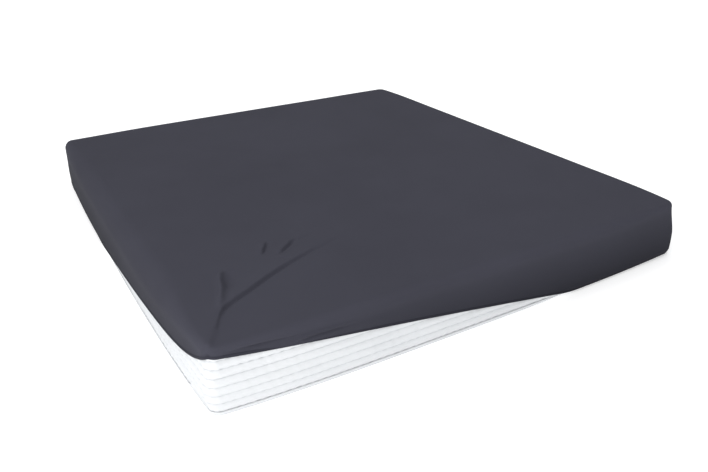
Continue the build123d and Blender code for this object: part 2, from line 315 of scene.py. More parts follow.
def shoulder_radius(x, y):
    """The radius of the upper edge near a point: the corner's own, growing to the side's own in its
    middle."""
    gaps = np.stack([y + half_y, half_x - x, half_y - y, x + half_x])
    side = np.argmin(gaps, axis=0)
    along = np.where(side % 2 == 0, np.abs(x) / half_x, np.abs(y) / half_y)
    middle = np.array([0.028, 0.022, 0.024, 0.066])[side]
    corner = np.where(x < 0, np.where(y < 0, 0.012, 0.036), np.where(y < 0, 0.014, 0.014))
    return corner + (middle - corner) * smooth((1 - along) / 0.5)


def lower_radius(x, y):
    """The radius of the lower edge: small where it is bare, larger where the elastic squeezes it."""
    bare = smooth(hem_height(x, y) / 0.05)
    right_corner = hump(np.hypot(x - half_x, y + half_y), 0.16)
    far_left_corner = hump(np.hypot(x + half_x, y - half_y), 0.2)
    squeezed = 0.022 + 0.010 * right_corner - 0.008 * far_left_corner
    at_slider = (x < 0) * (y > 0) * smooth((0.080 - from_slider(y)) / 0.050)
    squeezed = squeezed + (0.0104 - squeezed) * at_slider
    return squeezed + (0.009 - squeezed) * bare


hem_check = hem_height(np.array([-half_x, 0.0]), np.array([-half_y, -half_y])).round(3)
print("hem height at the corner and half way along the foot end:", hem_check)

# %% [markdown]
# ### Sides and loops
#
# One formula gives every layer's side from a place on the outline, a height, and how far the layer stands
# out. The lines that cross a top are close together where it is creased or rounded. Where one piece has
# both a top and sides, its sides use the same lines, so that the two share their points and no seam opens
# between them.

# %% Side surface
side_belly = 0.0015  # how far the sides stand out low down


def side_point(x, y, z, lift=0.0, room=1.0):
    """The section at a height: on the outline, moved in over the lower and upper roundings, out by the
    belly, and by lift along the surface's normal. x and y are on the outline. Returns x, y and z after the
    bow."""
    low = lower_radius(x, y)
    high = shoulder_radius(x, y)
    under = np.clip((low - z) / low, 0, 1)
    over = np.clip((z - height + high) / high, 0, 1)
    inset = low * (1 - np.sqrt(1 - under**2)) + high * (1 - np.sqrt(1 - over**2))
    belly = side_belly * np.sin(math.pi * np.clip(z / 0.14, 0, 1)) ** 2
    normal_out = np.sqrt(1 - under**2) * np.sqrt(1 - over**2)
    out_x, out_y = outward(x, y)
    out = belly - inset + lift * normal_out
    z = z + lift * (over - under)
    bow_x, bow_y = bowed(x + out_x * out, y + out_y * out, z, room)
    return bow_x, bow_y, z


# %% Lines and loops
edge_depths = np.array(
    [0, 0.0008, 0.002, 0.004, 0.007, 0.011, 0.016, 0.022, 0.029, 0.037, 0.046, 0.056, 0.067]
)


def lines(half, fine_step, fine_reach, coarse_step):
    """Places from -half to half: close together near both ends, evenly fine up to fine_reach, then
    coarse."""
    start = edge_depths[-1]
    fine = np.arange(start + fine_step, fine_reach, fine_step)
    last = fine[-1] if len(fine) else start
    stop = 2 * half - start
    count = max(2, round((stop - last) / coarse_step))
    coarse = np.linspace(last, stop, count + 1)[1:-1]
    depths = np.concatenate([edge_depths, fine, coarse, 2 * half - edge_depths[::-1]])
    return depths - half


def loop_of(across, along):
    """The outline's points in turn: foot end, right side, head end and left side, from the lines that cross
    it."""
    low_x, high_x = across[0], across[-1]
    low_y, high_y = along[0], along[-1]
    x = np.concatenate([across[:-1], 0 * along[:-1] + high_x, across[:0:-1], 0 * along[:0:-1] + low_x])
    y = np.concatenate([0 * across[:-1] + low_y, along[:-1], 0 * across[:0:-1] + high_y, along[:0:-1]])
    return rounded(x, y)


def loop_lengths(x, y):
    """How far round the loop each point is, with the whole length at the end."""
    steps = np.hypot(np.roll(x, -1) - x, np.roll(y, -1) - y)
    return np.concatenate([[0], np.cumsum(steps)])


# %% [markdown]
# ## Creases
#
# Cloth that is pulled to a corner folds in a fan. Simulating a stretched cover on its mattress would find
# some fan, but not this one, so the folds are drawn instead. Each follows a smooth line on the top. Across
# it, the cloth rises slowly from one side and drops fast on the other, which gives one lit flank and one
# thin shadow. The layers below are pressed in where the cover dips, so that they never show through it.

# %% Fold formulas
def curve_through(points, count):
    """A Catmull-Rom curve through the points, cut into short straight pieces."""
    p = np.array(points, dtype=float)
    p = np.vstack([2 * p[0] - p[1], p, 2 * p[-1] - p[-2]])
    t = np.linspace(0, len(points) - 1 - 1e-9, count)
    k = t.astype(int)
    f = (t - k)[:, None]
    a, b, c, d = p[k], p[k + 1], p[k + 2], p[k + 3]
    return 0.5 * (2 * b + (c - a) * f + (2 * a - 5 * b + 4 * c - d) * f**2 + (3 * b - a - 3 * c + d) * f**3)


def from_line(x, y, path):
    """Signed distance to a bent line, positive to the right of its direction, and the share of it passed
    there."""
    nearest = np.full(x.shape, np.inf)
    signed = np.zeros(x.shape)
    share = np.zeros(x.shape)
    steps = path[1:] - path[:-1]
    lengths = np.hypot(steps[:, 0], steps[:, 1])
    starts = np.concatenate([[0], np.cumsum(lengths)])
    for begin, step, length, start in zip(path[:-1], steps, lengths, starts):
        ux, uy = step / length
        along = np.clip((x - begin[0]) * ux + (y - begin[1]) * uy, 0, length)
        dx = x - begin[0] - along * ux
        dy = y - begin[1] - along * uy
        distance = np.hypot(dx, dy)
        closer = distance < nearest
        nearest = np.where(closer, distance, nearest)
        signed = np.where(closer, np.sign(dx * uy - dy * ux) * distance, signed)
        share = np.where(closer, (start + along) / starts[-1], share)
    return signed, share


def fold(x, y, points, rise, slow, fast, dip=0.0, grow=0.1, fade=0.4, dip_from=0.0):
    """A fold along a curve: a ridge of height rise that falls over slow on its left and over fast on its
    right, and a dip beside it on the right. It grows over the first share of its length and fades over the
    last. The dip may start further along, at dip_from."""
    signed, share = from_line(x, y, curve_through(points, 10 * len(points)))
    strength = smooth(share / grow) * smooth((1 - share) / fade)
    ridge = np.where(signed < 0, hump(signed, slow), hump(signed, fast))
    late = smooth((share - dip_from) / 0.12) if dip_from else 1.0
    return strength * (rise * ridge - dip * late * hump(signed - 1.9 * fast, fast))


# %% The folds
main_fold = [(-0.894, -0.998), (-0.848, -0.929), (-0.795, -0.841), (-0.758, -0.807), (-0.679, -0.764),
             (-0.602, -0.720), (-0.516, -0.678), (-0.417, -0.636), (-0.315, -0.599), (-0.200, -0.560)]
pinch_fold = [(-0.800, -0.840), (-0.773, -0.786), (-0.748, -0.730), (-0.730, -0.670), (-0.700, -0.615)]
pinch_hollow = [(-0.738, -0.748), (-0.712, -0.705), (-0.692, -0.665), (-0.672, -0.628)]
short_folds = [
    [(-0.572, -0.596), (-0.544, -0.554), (-0.508, -0.500)],
    [(-0.530, -0.620), (-0.496, -0.591), (-0.460, -0.562), (-0.415, -0.525)],
    [(-0.535, -0.634), (-0.485, -0.640)],
    [(-0.430, -0.548), (-0.365, -0.512)],
]

# The next three are on the foot end: how far along it, and how high.
hollow_line = [(0.03, 0.196), (0.20, 0.201), (0.42, 0.197)]
thin_line = [(0.22, 0.176), (0.32, 0.181), (0.44, 0.178)]
soft_line = [(0.10, 0.182), (0.35, 0.168), (0.70, 0.135)]


def top_folds(x, y):
    """The height of the creases at a place on the top, over cloth that lies a little loose around them."""
    loose = 0.0018 * hump(np.hypot(x + 0.62, y + 0.70), 0.20)
    total = loose + fold(x, y, main_fold, 0.0066, 0.048, 0.0046, 0.0062, grow=0.03, fade=0.55, dip_from=0.16)
    total += fold(x, y, pinch_fold, 0.0105, 0.009, 0.010, dip=0.002, grow=0.35, fade=0.2)
    total += fold(x, y, pinch_hollow, -0.0070, 0.012, 0.016, grow=0.4, fade=0.4)
    for points in short_folds[:2]:
        total += fold(x, y, points, 0.0045, 0.016, 0.0045, dip=0.0060, grow=0.4, fade=0.35)
    for points in short_folds[2:]:
        total += fold(x, y, points, 0.0020, 0.014, 0.006, dip=0.0020, grow=0.5, fade=0.5)
    return total


def side_folds(x, y, z):
    """How far the cover's sides stand out: a soft hollow under the foot end's ridge, and a thin fold by its
    hem."""
    foot = x + half_x
    on_foot = smooth((-y - half_y + 0.02) / 0.02)
    hollow = fold(foot, z, hollow_line, -0.0062, 0.009, 0.010, grow=0.3, fade=0.5)
    thin = fold(foot, z, thin_line, 0.0030, 0.006, 0.004, dip=0.0035, grow=0.3)
    soft = fold(foot, z, soft_line, 0.0030, 0.016, 0.014, grow=0.3, fade=0.5)
    return on_foot * (hollow + thin + soft)


crease_x, crease_y = np.meshgrid(np.linspace(-half_x, 0, 181), np.linspace(-half_y, 0, 201), indexing="ij")
creases = top_folds(crease_x, crease_y)
print(f"the creases reach from {creases.min():.4f} to {creases.max():.4f}")

# %% [markdown]
# ## The cover
#
# The cover is one sheet of stretch jersey. Its top is a grid of lines that lie close together near the
# creases and the edges, and its sides hang from that grid's border down to the hem. A fitted cover is sewn
# only at its four corners, so a short dart seam runs down each. The cloth is a single layer: jersey is a
# millimetre thick, and its edge is hidden in the hem.

# %% Cover surface
cover_across = lines(half_x + cover_lift, 0.0033, 0.50, 0.030)
cover_along = lines(half_y + cover_lift, 0.0033, 0.56, 0.032)
side_rows = 26
dart_depth = 0.0014  # the seam at each corner
dart_half = 0.0022


def crowned(x, y):
    """The top swells by a few millimetres towards its middle."""
    return 0.003 * (1 - (x / half_x) ** 2) * (1 - (y / half_y) ** 2)


def top_surface(across, along, lift):
    """The top and shoulders over a grid of lines: the height less what the rounded edge takes away."""
    flat_x, flat_y = np.meshgrid(across, along, indexing="ij")
    x, y = rounded(flat_x, flat_y, lift)
    radius = shoulder_radius(x, y) + lift
    short = np.clip((radius - depth_inside(x, y, lift)) / radius, 0, 1)
    z = height + lift - radius * (1 - np.sqrt(1 - short**2))
    return flat_x, flat_y, x, y, z, short


def border_numbers(rows, cols):
    """The numbers of a grid's outermost points in turn, in the order that loop_of gives them."""
    numbers = np.arange(rows * cols).reshape(rows, cols)
    return np.concatenate([numbers[:-1, 0], numbers[-1, :-1], numbers[:0:-1, -1], numbers[0, :0:-1]])


def cover_mesh():
    """The top grid and the side rows below its border, as places, quads and UV places."""
    flat_x, flat_y, x, y, z, short = top_surface(cover_across, cover_along, cover_lift)
    z = z + (1 - short) * (crowned(x, y) + top_folds(x, y))
    top_x, top_y = bowed(x, y, z)
    rim = border_numbers(*x.shape)
    loop_x, loop_y = loop_of(cover_across, cover_along)
    out_x, out_y = outward(loop_x, loop_y)
    rim_z = z.ravel()[rim]
    hem_z = hem_height(loop_x, loop_y)
    down = np.linspace(0, 1, side_rows + 1)[None, 1:]
    side_z = rim_z[:, None] + (hem_z - rim_z)[:, None] * down
    ring_x = np.broadcast_to(loop_x[:, None], side_z.shape)
    ring_y = np.broadcast_to(loop_y[:, None], side_z.shape)
    dart = np.minimum(np.abs(half_x - np.abs(ring_x)), np.abs(half_y - np.abs(ring_y)))
    groove = -dart_depth * hump(dart - corner_radius * (1 - math.sqrt(0.5)), dart_half)
    lift = cover_lift + side_folds(ring_x, ring_y, side_z) * smooth(down / 0.12) + groove
    side = side_point(ring_x, ring_y, side_z, lift, room=0.0)
    places = np.concatenate([points_of(top_x, top_y, z), points_of(*side)])
    rows, cols = x.shape
    top_quads = grid_faces(rows, cols)
    count = len(rim)
    below = rows * cols + np.arange(count * side_rows).reshape(count, side_rows)
    ladder = np.concatenate([rim[:, None], below], axis=1)
    following = np.roll(ladder, -1, axis=0)
    side_quads = np.stack([ladder[:, :-1], ladder[:, 1:], following[:, 1:], following[:, :-1]], axis=-1)
    drop = np.concatenate([0 * rim_z[:, None], rim_z[:, None] - side_z], axis=1)
    flat_rim_x = flat_x.ravel()[rim][:, None]
    flat_rim_y = flat_y.ravel()[rim][:, None]
    u = flat_rim_x + np.sign(flat_rim_x) * drop * (np.abs(out_x) > 0.7)[:, None]
    v = flat_rim_y + np.sign(flat_rim_y) * drop * (np.abs(out_y) > 0.7)[:, None]
    side_uv = np.stack([u, v], axis=-1)
    next_uv = np.roll(side_uv, -1, axis=0)
    side_corners = np.stack([side_uv[:, :-1], side_uv[:, 1:], next_uv[:, 1:], next_uv[:, :-1]], axis=2)
    quads = np.concatenate([top_quads, side_quads.reshape(-1, 4)])
    uv = np.concatenate([grid_uv(flat_x, flat_y), side_corners.reshape(-1, 4, 2)])
    return places, quads, uv


cover = mesh_piece("cover_cloth", *cover_mesh())
place_piece(cover, "fitted_cover", "cover_jersey", "cover_panel", "cover_skirt")

# %% [markdown]
# ## The hem and its elastic
#
# The hem is the cover's edge, folded round a band of elastic and stitched. It is a flat tube that follows
# the hem line, so its section is an oval carried round the loop, turned to lie on the cloth. A curve with a
# bevel would do this for a round cord, but it can't keep a flat band against a slope.

# %% Hem band
hem_across = lines(half_x, 0.008, 0.50, 0.024)
hem_along = lines(half_y, 0.008, 0.50, 0.024)


def band_round(name, middle_rise, half_width, half_thick, sink):
    """A flat oval tube along the hem. Its middle is middle_rise above the hem line, and sink is how far it
    lies inside the cloth's outer face. The oval's long axis follows the section's slope."""
    x, y = loop_of(hem_across, hem_along)
    angle = np.linspace(0, 2 * math.pi, 16, endpoint=False)[None, :]
    line = hem_height(x, y)[:, None]
    wide_x, wide_y = np.broadcast_arrays(x[:, None] + 0 * angle, y[:, None] + 0 * angle)
    z = np.maximum(line + middle_rise + half_width * np.sin(angle), 0.0015)
    lift = cover_lift - sink + half_thick * np.cos(angle)
    places = points_of(*side_point(wide_x, wide_y, z, lift, room=0.0))
    lengths = loop_lengths(x, y)[:, None]
    turns = np.linspace(0, 2 * math.pi, 17)[None, :] * half_width
    uv = grid_uv(lengths + 0 * turns, turns + 0 * lengths)
    return mesh_piece(name, places, grid_faces(len(x), 16, True, True), uv)


hem_band = band_round("cover_hem_band", 0.0045, 0.0050, 0.0014, 0.0002)
place_piece(hem_band, "fitted_cover", "cover_jersey", "cover_hem")
elastic_band = band_round("cover_hem_elastic", 0.0045, 0.0036, 0.0005, 0.0002)
place_piece(elastic_band, "fitted_cover", "elastic", "hem_elastic")

# %% [markdown]
# ## The quilted border
#
# The casing's side is quilted in horizontal channels: between two stitched lines the filling swells, and at
# a line the cloth is pulled in and puckers a little. Rows of round channels are the absolute sine of the
# height, and a slow wave along each row keeps them from looking machined. A bump map would shade the
# channels but leave the outline straight. In the mesh, they shape the outline too.

# %% Border
quilt_pitch = 0.0265  # the height of a channel
quilt_depth = 0.0050  # how far a stitched line is pulled in
zip_relief = 0.0036  # and how much less that is next to the zip
quilt_limit = 0.0004  # the fullest swell keeps this low, so that it stays under the cover


def flap_reach(x, y):
    """How far the cloth's edge covers the slot: less where the slider is parked, at either end of its
    way."""
    parked = (x < 0) * smooth((0.044 - from_slider(y)) / 0.012)
    return flap + (flap_parked - flap) * parked


border_across = lines(half_x, 0.008, 0.90, 0.016)
border_along = lines(half_y, 0.008, 0.60, 0.012)
rows_per_channel = 9


def channel_swell(z, s):
    """How far the filling stands out: 0 at a stitched line, full between two. The fullness wanders along
    s."""
    phase = (z - zip_z) / quilt_pitch
    row = np.floor(phase)
    wander = 0.13 * np.sin(s * 23 + row * 2.1) + 0.07 * np.sin(s * 61 + row * 4.7)
    wander = wander + 0.05 * np.sin(s * 131 + row)
    pucker = 0.30 * np.sin(s * 2 * math.pi / 0.027 + row * 1.7 + 1.5 * np.sin(s * 17))
    pucker = pucker * np.abs(np.cos(math.pi * phase))
    return np.abs(np.sin(math.pi * phase)) ** 0.7 * (1 + wander) + pucker


def border_mesh():
    """The border's outer face, from the zip to the piping, and its turned-in upper and lower edges."""
    x, y = loop_of(border_across, border_along)
    s = loop_lengths(x, y)
    channels = (border_top - zip_high) / quilt_pitch
    z = np.linspace(zip_high, border_top, round(channels * rows_per_channel))
    z = np.concatenate([[z[0], z[0]], z, [z[-1]]])[None, :]
    edge = np.zeros(z.shape)
    edge[0, :3] = 1
    edge[0, 3] = 0.4
    z = z - edge * flap_reach(x, y)[:, None]
    turned = np.zeros((1, z.shape[1]))
    turned[0, 0] = -0.0020
    turned[0, 1] = -0.0010
    turned[0, -1] = -0.0070
    wide_x, wide_y, wide_z = np.broadcast_arrays(x[:, None], y[:, None], z)
    swell = channel_swell(wide_z, s[:-1, None])
    pressed = np.minimum(side_folds(wide_x, wide_y, wide_z), 0)
    valley = quilt_depth - zip_relief * hump(wide_z - zip_z, 0.006)
    lift = -0.0005 - valley * (1 - swell) + turned + pressed
    lift = np.minimum(lift, quilt_limit)
    lift[:, 2] -= 0.0005
    places = points_of(*side_point(wide_x, wide_y, wide_z, lift))
    around = np.concatenate([z, z[:1]])
    uv = grid_uv(s[:, None] + 0 * around, around)
    return places, grid_faces(len(x), z.shape[1], True), uv


border = mesh_piece("casing_border_quilt", *border_mesh())
place_piece(border, "casing_top", "casing_quilt", "casing_border")

# %% [markdown]
# ## The quilted top and the piping
#
# The casing's top is quilted in lozenges, a common pattern on washable casings. It shows only when the
# cover is off. Two families of slanting lines cross, and the filling swells between them, so the swell is
# the smaller of two sines. The piping is a round cord in a fold of cloth, sewn into the seam between top
# and border.

# %% Quilted top
lozenge = 0.105  # the stitched lines are this far apart, measured across the mattress
stitch_depth = 0.0050
top_inset = 0.0015  # the panel lies this far below the shared surface
piping_dip = 0.0055  # and this much lower below the piping
top_across = lines(half_x, 0.0095, 1.75, 0.0095)
top_along = lines(half_y, 0.0095, 1.95, 0.0095)


def lozenge_swell(x, y):
    """The filling between two families of slanting lines: the smaller of two absolute sines, rounded
    off."""
    one = np.abs(np.sin(math.pi * (x + 0.62 * y) / lozenge))
    other = np.abs(np.sin(math.pi * (x - 0.62 * y) / lozenge))
    return np.minimum(one, other) ** 0.6


def top_mesh():
    """The top panel: the shared top surface, lowered at the stitched lines and below the piping."""
    flat_x, flat_y, x, y, z, short = top_surface(top_across, top_along, 0.0)
    below_piping = smooth((border_top + 0.003 - z) / 0.004)
    relief = -stitch_depth * (1 - lozenge_swell(x, y)) * (1 - short) - top_inset - piping_dip * below_piping
    pressed = np.minimum(top_folds(x, y), 0)
    z = z + (1 - short) * (crowned(x, y) + pressed) + relief
    shrink = 1 - 0.006 * below_piping
    bow_x, bow_y = bowed(x * shrink, y * shrink, z)
    return points_of(bow_x, bow_y, z), grid_faces(*x.shape), grid_uv(flat_x, flat_y)


top_quilt = mesh_piece("casing_top_quilt", *top_mesh())
place_piece(top_quilt, "casing_top", "casing_quilt", "casing_top_panel")


# %% Piping
def tube_round(name, x, y, z, sink, radius_out, radius_up, corners, closed=True):
    """A tube along the outline at a height: an oval section carried round, its middle sunk below the
    surface."""
    angle = np.linspace(0, 2 * math.pi, corners, endpoint=False)[None, :]
    wide_x, wide_y = np.broadcast_arrays(x[:, None] + 0 * angle, y[:, None] + 0 * angle)
    level = z + radius_up * np.sin(angle) + 0 * x[:, None]
    pressed = np.minimum(side_folds(wide_x, wide_y, level), 0)
    places = points_of(*side_point(wide_x, wide_y, level, pressed - sink + radius_out * np.cos(angle)))
    s = loop_lengths(x, y)[: None if closed else -1, None]
    turns = np.linspace(0, 1, corners + 1)[None, :] * math.pi * (radius_out + radius_up)
    uv = grid_uv(s + 0 * turns, turns + 0 * s)
    return mesh_piece(name, places, grid_faces(len(x), corners, closed, True), uv)


piping_low, piping_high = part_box("top_piping")
plain_loop = loop_of(hem_across, hem_along)
piping_middle = (piping_low.z + piping_high.z) / 2
piping_radius = (piping_high.z - piping_low.z) / 2
piping = tube_round("casing_piping", *plain_loop, piping_middle, 0.0022, piping_radius, piping_radius, 12)
place_piece(piping, "casing_top", "piping", "top_piping")

# %% [markdown]
# ## The care label
#
# A small blank tape hangs from the border's seam at the head end, its free edge curling away from the side.
# It is a plain grid of points on the side's own surface, lifted off it a little more towards its lower
# edge.

# %% Care label
label_low, label_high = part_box("care_label")


def label_mesh():
    """A rectangle hung on the head end's side, lifted off it by a curl that grows towards its lower
    edge."""
    across = np.linspace(label_low.x, label_high.x, 13)[:, None]
    down = np.linspace(label_high.z, label_low.z, 19)[None, :]
    x, z = np.broadcast_arrays(across, down)
    share = (label_high.z - z) / (label_high.z - label_low.z)
    wave = 0.0003 * np.sin((x - label_low.x) * 160)
    x_side, y_side, z_side = side_point(x, 0 * x + half_y, z, 0.0006 + 0.0009 * share**2 + wave * share)
    return points_of(x_side, y_side, z_side), grid_faces(13, 19, flip=True), grid_uv(x, z, flip=True)


label = mesh_piece("care_label_tape", *label_mesh())
place_piece(label, "casing_top", "label", "care_label")

# %% [markdown]
# ## The base
#
# The base is the casing's plain woven underside. Its rim turns up to carry the lower half of the zip. It
# could be the bottom of one closed box with the border, but the zip parts the two, so it is a sheet of its
# own.

# %% Base
base_across = lines(half_x, 0.02, 0.6, 0.035)
base_along = lines(half_y, 0.008, 0.60, 0.012)
base_floor = 0.0006
base_tuck = 0.0045  # how far the cloth keeps inside the border


def base_mesh():
    """The underside over a grid: the floor's height plus what the rounded lower edge lifts it, and above
    that two rows that reach the zip. Where the rounding is higher than the zip, the cloth keeps just inside
    the border."""
    flat_x, flat_y = np.meshgrid(base_across, base_along, indexing="ij")
    x, y = rounded(flat_x, flat_y)
    radius = lower_radius(x, y)
    short = np.clip((radius - depth_inside(x, y)) / radius, 0, 1)
    z = base_floor + radius * (1 - np.sqrt(1 - short**2))
    sunk = base_tuck * smooth((z - zip_low - flap) / 0.002)
    waves = np.sin(x * 2 * math.pi / 0.09) * np.sin(y * 2 * math.pi / 0.09)
    quilted = 0.0008 * waves * smooth((0.002 - z) / 0.001)
    z = z + sunk + np.maximum(quilted, -0.0004) * 0.5
    shrink_x = 1 - sunk / half_x
    shrink_y = 1 - sunk / half_y
    bow_x, bow_y = bowed(x * shrink_x, y * shrink_y, z)
    rim = border_numbers(*x.shape)
    loop_x, loop_y = loop_of(base_across, base_along)
    rim_z = z.ravel()[rim][:, None]
    rise = np.array([[0.5, 1.0, 1.0]])
    turned = np.array([[0.0, 0.0, -0.0020]])
    edge = zip_low + flap_reach(loop_x, loop_y)[:, None]
    side_z = rim_z + np.maximum(edge - rim_z, 0) * rise
    bare = edge > rim_z
    wide_x, wide_y = np.broadcast_arrays(loop_x[:, None] + 0 * side_z, loop_y[:, None] + 0 * side_z)
    side = side_point(wide_x, wide_y, side_z, np.where(bare, turned, turned - base_tuck))
    places = np.concatenate([points_of(bow_x, bow_y, z), points_of(*side)])
    below = x.size + np.arange(len(rim) * 3).reshape(-1, 3)
    ladder = np.concatenate([rim[:, None], below], axis=1)
    following = np.roll(ladder, -1, axis=0)
    side_quads = np.stack([ladder[:, :-1], following[:, :-1], following[:, 1:], ladder[:, 1:]], axis=-1)
    return places, np.concatenate([grid_faces(*x.shape, flip=True), side_quads.reshape(-1, 4)])


base = mesh_piece("casing_base_cloth", *base_mesh())
place_piece(base, "core", "casing_base_cloth", "casing_base")

# %% [markdown]
# ## The zip
#
# A coil zip runs right round, in the slot between base and border. Each half is a woven tape with a nylon
# coil along its edge. The chain is open for a few millimetres past the parked slider. The coil's turns are
# far too many to model, so the coil is a smooth oval tube, and its finish cuts the turns into it.

# %% Tapes and coils
coil_low, coil_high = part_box("zip_coil_upper")
lower_coil_low, lower_coil_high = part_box("zip_coil_lower")


def chain_loop(first_y, last_y):
    """The outline from first_y on the left side right round to last_y there, with points at both."""
    x, y = loop_of(hem_across, hem_along)
    on_left = (x < -half_x + corner_radius / 2) & (np.abs(y) < half_y - corner_radius)
    in_gap = on_left & (y < last_y) & (y > first_y)
    start = int(np.argmin(np.where(on_left & (y <= first_y), first_y - y, np.inf)))
    order = np.roll(np.arange(len(x)), -start)
    order = order[~in_gap[order]]
    x = np.concatenate([[-half_x], x[order], [-half_x]])
    y = np.concatenate([[first_y], y[order], [last_y]])
    return x, y


def tape_band(name, low_z, high_z, sink, loop):
    """A flat woven band of the zip, seen in the slot."""
    x, y = loop
    z = np.linspace(low_z, high_z, 4)[None, :]
    wide_x, wide_y, wide_z = np.broadcast_arrays(x[:, None], y[:, None], z)
    s = loop_lengths(x, y)[:-1, None]
    places = points_of(*side_point(wide_x, wide_y, wide_z, -sink))
    return mesh_piece(name, places, grid_faces(len(x), 4), grid_uv(s + 0 * z, z + 0 * s))


chain = chain_loop(stop_low.y, slider_y)
tape_sink = 0.0073
coil_sink = 0.0061
upper_z = (coil_low.z + coil_high.z) / 2
lower_z = (lower_coil_low.z + lower_coil_high.z) / 2
coil_up = (coil_high.z - coil_low.z) / 2
upper_tape = tape_band("zip_upper_tape", upper_z, zip_high + 0.002, tape_sink, chain)
lower_tape = tape_band("zip_lower_tape", zip_low - 0.002, lower_z, tape_sink, chain)
upper_coil = tube_round("zip_upper_coil", *chain, upper_z, coil_sink, 0.0012, coil_up, 8, closed=False)
lower_coil = tube_round("zip_lower_coil", *chain, lower_z, coil_sink, 0.0012, coil_up, 8, closed=False)
place_piece(upper_tape, "casing_top", "zip_tape", "zip_tape_upper")
place_piece(lower_tape, "core", "zip_tape", "zip_tape_lower")
place_piece(upper_coil, "casing_top", "zip_coil", "zip_coil_upper")
place_piece(lower_coil, "core", "zip_coil", "zip_coil_lower")

# %% [markdown]
# ## The foam core
#
# The core is glued up from blocks: four firm bolsters round the edge, and between them a support layer, a
# transition layer and five comfort zones. Each zone's top is cut into cells that move on their own, which
# is what relieves the pressure. The core shows when the casing is lifted off.

# %% Bolsters
bolster_low, bolster_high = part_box("bolster_left")
inner_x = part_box("support_foam")[1].x
inner_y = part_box("support_foam")[1].y
bolster_out = half_x + bolster_low.x  # how far the core keeps inside the casing's outline
bolster_steps = 6


def bolster_mesh(keep):
    """Part of the ring round the core: its outer side follows the casing's section, further in, and its
    inner side is the core's inner rectangle. keep says which points of the outline belong to it. Both ends
    are closed with a fan of triangles. A rounding can't be wider than the corner leaves room for."""
    x, y = loop_of(lines(half_x, 0.03, 0.5, 0.045), lines(half_y, 0.03, 0.5, 0.045))
    chosen = keep(x, y)
    start = int(np.argmax(chosen & ~np.roll(chosen, 1)))
    order = np.roll(np.arange(len(x)), -start)
    order = order[chosen[order]]
    x, y = x[order], y[order]
    x = np.concatenate([[np.sign(x[0]) * inner_x], x, [np.sign(x[-1]) * inner_x]])
    y = np.concatenate([[y[0]], y, [y[-1]]])
    low = np.clip(lower_radius(x, y) - 0.008, 0.004, 0.016)[:, None]
    from_corner = np.maximum(np.maximum(half_x - np.abs(x), half_y - np.abs(y)) - corner_radius, 0)
    widest = corner_radius - bolster_out - 0.001 + from_corner
    high = np.minimum(np.maximum(shoulder_radius(x, y) - 0.010, 0.006), widest)[:, None]
    quarter = np.linspace(0, math.pi / 2, bolster_steps)[None, :]
    low_out, low_z = -low * (1 - np.sin(quarter)), bolster_low.z + low * (1 - np.cos(quarter))
    high_out, high_z = -high * (1 - np.cos(quarter)), bolster_high.z - high * (1 - np.sin(quarter))
    wall = np.linspace(0, 1, bolster_steps)[None, 1:-1]
    wall_z = low_z[:, -1:] + (high_z[:, :1] - low_z[:, -1:]) * wall
    out = np.concatenate([low_out, 0 * wall_z, high_out], axis=1) - bolster_out
    z = np.concatenate([low_z, wall_z, high_z], axis=1)
    out_x, out_y = outward(x, y)
    ring_x, ring_y = bowed(x[:, None] + out_x[:, None] * out, y[:, None] + out_y[:, None] * out, z)
    flat_x = np.clip(x, -inner_x, inner_x)[:, None]
    flat_y = np.clip(y, -inner_y, inner_y)[:, None]
    inner_z = np.linspace(bolster_high.z, bolster_low.z, 4)[None, :] + 0 * flat_x
    ring_x = np.concatenate([ring_x, flat_x + 0 * inner_z], axis=1)
    ring_y = np.concatenate([ring_y, flat_y + 0 * inner_z], axis=1)
    z = np.concatenate([z, inner_z], axis=1)
    rows, cols = z.shape
    places = points_of(ring_x, ring_y, z)
    centres = np.array([places[:cols].mean(axis=0), places[-cols:].mean(axis=0)])
    first = np.arange(cols)
    last = first + (rows - 1) * cols
    begin = np.stack([first, np.roll(first, -1), np.full(cols, len(places))], axis=-1)
    finish = np.stack([np.roll(last, -1), last, np.full(cols, len(places) + 1)], axis=-1)
    ends = np.concatenate([begin, finish])
    return np.concatenate([places, centres]), grid_faces(rows, cols, round_cols=True), ends


def bolster(node, keep):
    places, quads, ends = bolster_mesh(keep)
    piece = mesh_piece("core_" + node, places, quads)
    work = bmesh.new()
    work.from_mesh(piece.data)
    work.verts.ensure_lookup_table()
    for corners in ends.tolist():
        work.faces.new([work.verts[number] for number in corners])
    work.to_mesh(piece.data)
    work.free()
    weld(piece)
    place_piece(piece, "core", "bolster_foam", node)
    return piece


bolsters = [
    bolster("bolster_left", lambda x, y: x < -inner_x - 1e-6),
    bolster("bolster_right", lambda x, y: x > inner_x + 1e-6),
    bolster("bolster_foot", lambda x, y: (np.abs(x) < inner_x) & (y < 0)),
    bolster("bolster_head", lambda x, y: (np.abs(x) < inner_x) & (y > 0)),
]

# %% [markdown]
# ## Comfort zones and layers
#
# A zone's top is a height over a grid. The grid's lines are set cell by cell: the groove's floor, its wall,
# the rounded rim and the crown, so a few lines give a clean cut. Cutting hundreds of grooves with booleans
# would be slow and leave ragged edges. The two layers below are the same kind of block: the support layer
# has cuts across it, and the transition layer has none.

# %% Comfort zones
groove_half = 0.0025
groove_depth = 0.032
cell_offsets = np.array([0.0, groove_half, groove_half + 0.0004, 0.005, 0.010, 0.020])
# How many cells each zone has across and along the mattress, and each layer along it.
zones = {
    "comfort_heel": (1, 7),
    "comfort_legs": (16, 4),
    "comfort_seat": (24, 6),
    "comfort_back": (16, 5),
    "comfort_head": (12, 3),
}
layers = {"support_foam": 17, "transition_foam": 1}
rim_depth, rim_width = 0.0055, 0.005


